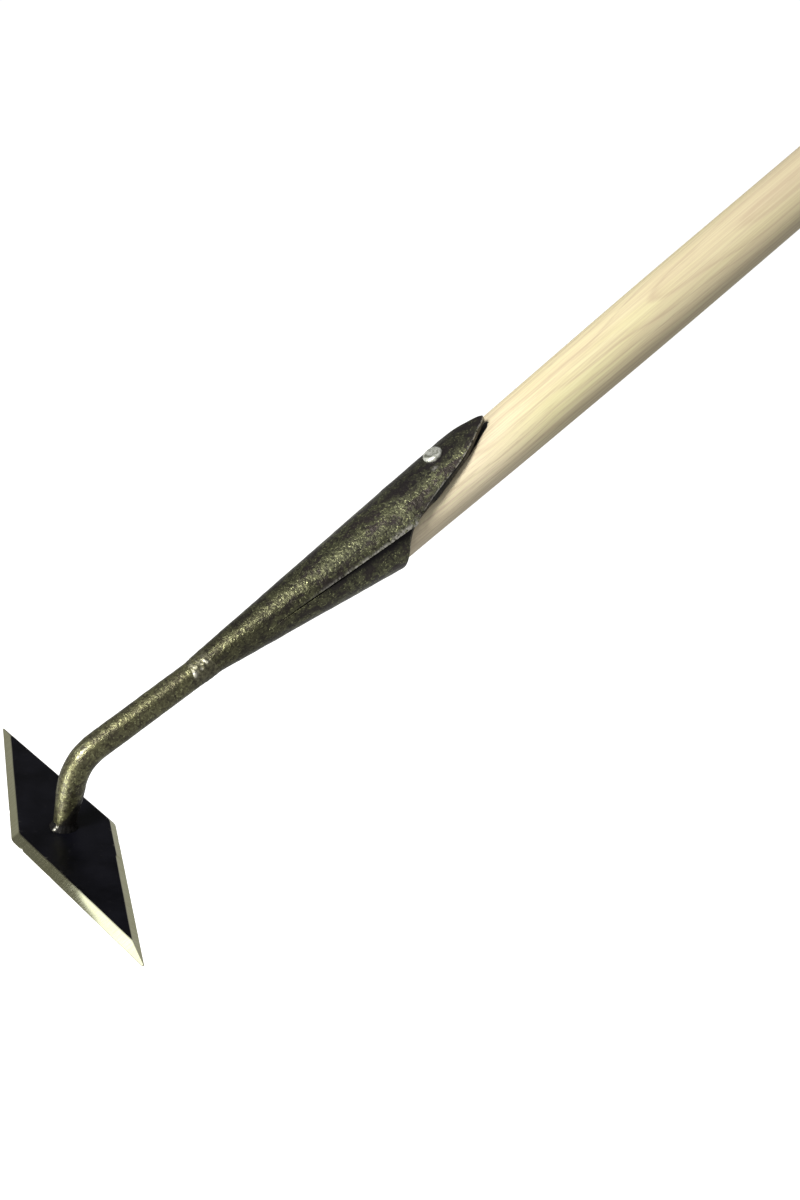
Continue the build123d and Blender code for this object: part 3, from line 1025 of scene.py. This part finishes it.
def make_washer():
    high = WASHER_SEAT
    low = WASHER_SEAT - WASHER_T
    profile = [(low + 0.15, 2.5), (low, 2.7), (low, 4.9), (low + 0.1, 5.12),
               (low + 0.3, WASHER_R), (high - 0.3, WASHER_R), (high - 0.1, 5.12),
               (high, 4.9), (high, 2.7), (high - 0.15, 2.5)]
    rings = about_rivet(profile)
    rows = len(profile)
    faces = ring_faces(rows, LATHE_COLS, (False, False))
    last = (rows - 1) * LATHE_COLS
    for j in range(LATHE_COLS):
        k = (j + 1) % LATHE_COLS
        faces.append((j, k, last + k, last + j))
    piece("rivet_washer", row_from_tool(rings), faces, [RIVET])


make_rivet()
make_washer()

# --- Welds --------------------------------------------------------------------------------
# spots of bare metal: angle round the bar, height or share along, and size
FOOT_BARE = [(math.radians(217), 2.8, 0.45), (math.radians(213), 1.9, 0.45),
             (math.radians(208), 0.7, 0.40)]
NECK_BARE = [(math.radians(62), 0.05, 1.0), (math.radians(52), 0.75, 0.55),
             (math.radians(60), 0.4, 0.45)]


def make_foot_weld():
    """A small uneven fillet round the bar's foot."""
    cols = 96
    turn = np.linspace(0, 2 * np.pi, cols, endpoint=False)
    lean = flat_dir(FOOT_LEAN)
    steps = np.linspace(0, 1, 16)
    rings = []
    for u in steps:
        leg = 1.35 * (1 - u) ** 1.9
        high = 3.4 * u
        middle = FOOT + lean * high
        r = FOOT_R + leg + 0.04
        ring = np.stack([middle[0] + np.cos(turn) * r, middle[1] + np.sin(turn) * r,
                         np.full(cols, middle[2])], -1)
        rings.append(ring)
    rings = np.array(rings)
    out = np.stack([np.cos(turn), np.sin(turn), turn * 0], -1)
    lumps = 0.22 * relief(rings, 2.2, 11.0) + 0.14 * relief(rings, 1.0, 12.0)
    ripples = 0.10 * np.sin(turn * 17 + 1.5 * np.sin(turn * 3))[None, :]
    fade = np.sin(np.pi * np.clip(steps, 0.12, 1.0))[:, None]
    rings = rings + out[None] * ((lumps + ripples) * np.clip(fade + 0.25, 0, 1))[..., None]
    rings[0, :, 2] = THICK
    wear = np.zeros(rings.shape[:2])
    for spot, high, size in FOOT_BARE:
        d = np.hypot((wrap(turn[None, :] - spot)) * FOOT_R, (rings[..., 2] - THICK - high))
        wear = np.maximum(wear, np.exp(-((d / size) ** 2)) * 1.2)
    faces = ring_faces(len(rings), cols)
    piece("blade_weld", rings, faces, [FOOT_WELD], {"wear": wear})


def make_neck_weld():
    """The painted collar of weld that joins the bar to the rolled cone."""
    cols = 96
    turn = np.linspace(0, 2 * np.pi, cols, endpoint=False)
    ways = flat_dir(NECK_RISE)
    up_bar = np.array([-math.sin(NECK_RISE), 0, math.cos(NECK_RISE)])
    side = np.array([0, -1.0, 0])
    start = NECK_END - ways * 4.6
    r0 = BAR_R + 0.02
    first = start + r0 * (np.cos(turn)[:, None] * up_bar + np.sin(turn)[:, None] * side)
    r1 = float(cone_r(5.0)) + 0.02
    last = row_from_tool(np.stack([np.full(cols, 5.0), -np.sin(turn) * r1,
                                   float(cone_z(5.0)) + np.cos(turn) * r1], -1))
    us = np.linspace(0, 1, 44)[:, None, None]
    rings = first[None] * (1 - us) + last[None] * us
    # ragged start that reaches further down the bar on the near flank
    reach = 1.0 * np.exp(-((turn - 1.5) / 0.8) ** 2) + 0.18 * np.sin(turn * 5 + 1.0)
    rings = rings - (1 - us) ** 2 * reach[None, :, None] * ways
    out = np.cos(turn)[:, None] * up_bar + np.sin(turn)[:, None] * side
    u = us[..., 0]
    near = 0.25 + 0.75 * np.exp(-(wrap(turn - 1.05) / 0.8) ** 2)[None, :]
    swell = 0.34 * near * np.sin(np.pi * np.clip(u * 1.1, 0, 1)) ** 0.8
    bend = 0.6 * np.sin(turn * 2 + 1)[None, :] + 0.25 * np.sin(turn * 5)[None, :]
    ripple = 0.10 * near * np.sin(2 * np.pi * u * 4.3 + 3.0 * bend)
    lumps = near * (0.34 * relief(rings, 2.6, 21.0) + 0.22 * relief(rings, 1.2, 22.0))
    fade = np.sin(np.pi * u) ** 0.5
    lift = swell + ripple * fade + lumps * fade
    lift = np.maximum(lift, -0.02)
    rings = rings + out[None] * lift[..., None]
    wear = np.zeros(rings.shape[:2])
    for spot, where, size in NECK_BARE:
        d = np.hypot(wrap(turn[None, :] - spot) * BAR_R, (u - where) * 9.6)
        wear = np.maximum(wear, np.exp(-((d / size) ** 2)) * 1.5)
    faces = ring_faces(len(rings), cols)
    piece("socket_weld", rings, faces, [NECK_WELD], {"wear": wear})


make_foot_weld()
make_neck_weld()


# --- Studio -----------------------------------------------------------------------------------
# the camera's place in metres, its line of sight and its right-hand side,
# fitted to the photograph's outlines
CAMERA_AT = (-0.16325, -0.48861, 0.31530)
CAMERA_AHEAD = (0.499843, 0.788285, -0.358836)
CAMERA_RIGHT = (0.863241, -0.487145, 0.132304)
LENS = 42.0561
SENSOR = 36.0
# name, where from, way and distance to the lamp, aim, side, radiance, colour
LAMPS = [
    ("key", (0.20, 0, 0.16), (-0.84, -0.29, 0.46), 3.0, (0.20, 0, 0.16), 0.93, 38.0,
     (1.0, 0.99, 0.955)),
    ("rim", (0, 0, 0), (-0.742, 0.387, 0.546), 1.3, (0, 0, 0), 0.42, 2.0, (0.90, 0.93, 1.0)),
    ("low", (0, 0, 0), (-0.92, -0.22, -0.20), 0.9, (0, 0, 0.01), 0.50, 7.5, (1.0, 0.99, 0.90)),
]
# brightness of the surroundings, from straight down (0) to straight up (1)
SKY = [(0.0, 0.44), (0.42, 0.42), (0.50, 0.38), (0.56, 0.32), (0.66, 0.16), (0.80, 0.19),
       (1.0, 0.26)]
BACKDROP = 1.05
FLOOR_HALF = 5.0
FLOOR_LEVEL = -0.6
FLOOR_GLOW = 0.9


def camera():
    data = bpy.data.cameras.new("camera")
    data.sensor_width = SENSOR
    data.lens = LENS
    data.clip_start = 0.01
    data.clip_end = 50.0
    obj = bpy.data.objects.new("camera", data)
    right, ahead = Vector(CAMERA_RIGHT), Vector(CAMERA_AHEAD)
    turn = Matrix((right, right.cross(ahead), -ahead)).transposed().to_4x4()
    obj.matrix_world = Matrix.Translation(CAMERA_AT) @ turn
    scene.collection.objects.link(obj)
    scene.camera = obj


def area_light(name, at, aim, side, radiance, colour):
    """A soft square of this radiance, facing aim."""
    data = bpy.data.lights.new(name, "AREA")
    data.shape = "RECTANGLE"
    data.size = data.size_y = side
    data.energy = radiance * math.pi * side * side
    data.color = colour
    obj = bpy.data.objects.new(name, data)
    obj.location = at
    obj.rotation_mode = "QUATERNION"
    obj.rotation_quaternion = (aim - at).to_track_quat("-Z", "Y")
    obj.visible_camera = False
    scene.collection.objects.link(obj)


def studio():
    """White backdrop for the camera, graded soft light for the hoe."""
    scene.view_settings.view_transform = "Standard"
    world = bpy.data.worlds.new("studio")
    world.use_nodes = True
    tree = world.node_tree
    back = tree.nodes["Background"]
    back.inputs[0].default_value = (1, 1, 1, 1)
    back.inputs[1].default_value = BACKDROP
    soft = tree.nodes.new("ShaderNodeBackground")
    coords = tree.nodes.new("ShaderNodeTexCoord")
    split = tree.nodes.new("ShaderNodeSeparateXYZ")
    ramp = tree.nodes.new("ShaderNodeValToRGB")
    tree.links.new(coords.outputs["Generated"], split.inputs[0])
    half = tree.nodes.new("ShaderNodeMath")
    half.operation = "MULTIPLY_ADD"
    half.inputs[1].default_value = 0.5
    half.inputs[2].default_value = 0.5
    tree.links.new(split.outputs[2], half.inputs[0])
    tree.links.new(half.outputs[0], ramp.inputs[0])
    line = ramp.color_ramp
    while len(line.elements) < len(SKY):
        line.elements.new(0.5)
    for element, (place, shade) in zip(line.elements, SKY):
        element.position = place
        element.color = (shade, shade * 0.99, shade * 0.97, 1)
    tree.links.new(ramp.outputs[0], soft.inputs[0])
    soft.inputs[1].default_value = 1.0
    path = tree.nodes.new("ShaderNodeLightPath")
    mix = tree.nodes.new("ShaderNodeMixShader")
    tree.links.new(path.outputs["Is Camera Ray"], mix.inputs[0])
    tree.links.new(soft.outputs[0], mix.inputs[1])
    tree.links.new(back.outputs[0], mix.inputs[2])
    tree.links.new(mix.outputs[0], tree.nodes["World Output"].inputs[0])
    scene.world = world
    for name, start, way, away, aim, side, radiance, colour in LAMPS:
        at = Vector(start) + Vector(way).normalized() * away
        area_light(name, at, Vector(aim), side, radiance, colour)


def floor():
    """A plain pale floor, well below the hoe."""
    count = 12
    steps = np.linspace(-FLOOR_HALF, FLOOR_HALF, count)
    verts = [(x, y, FLOOR_LEVEL) for x in steps for y in steps]
    faces = [(i * count + j, (i + 1) * count + j, (i + 1) * count + j + 1, i * count + j + 1)
             for i in range(count - 1) for j in range(count - 1)]
    mesh = bpy.data.meshes.new("floor")
    mesh.from_pydata(verts, [], faces)
    s = Shader("floor", Roughness=0.9)
    s.set("Base Color", s.ramp(s.noise(s.coords(tool=False), 0.004), (0.3, (0.90, 0.90, 0.90)),
                               (0.7, (0.93, 0.93, 0.93))))
    s.bsdf.inputs["Emission Color"].default_value = (1, 1, 1, 1)
    s.bsdf.inputs["Emission Strength"].default_value = FLOOR_GLOW
    mesh.materials.append(s.material)
    obj = bpy.data.objects.new("floor", mesh)
    scene.collection.objects.link(obj)
    obj.visible_glossy = False
    obj.visible_diffuse = False
    obj.visible_shadow = False


camera()
studio()
floor()
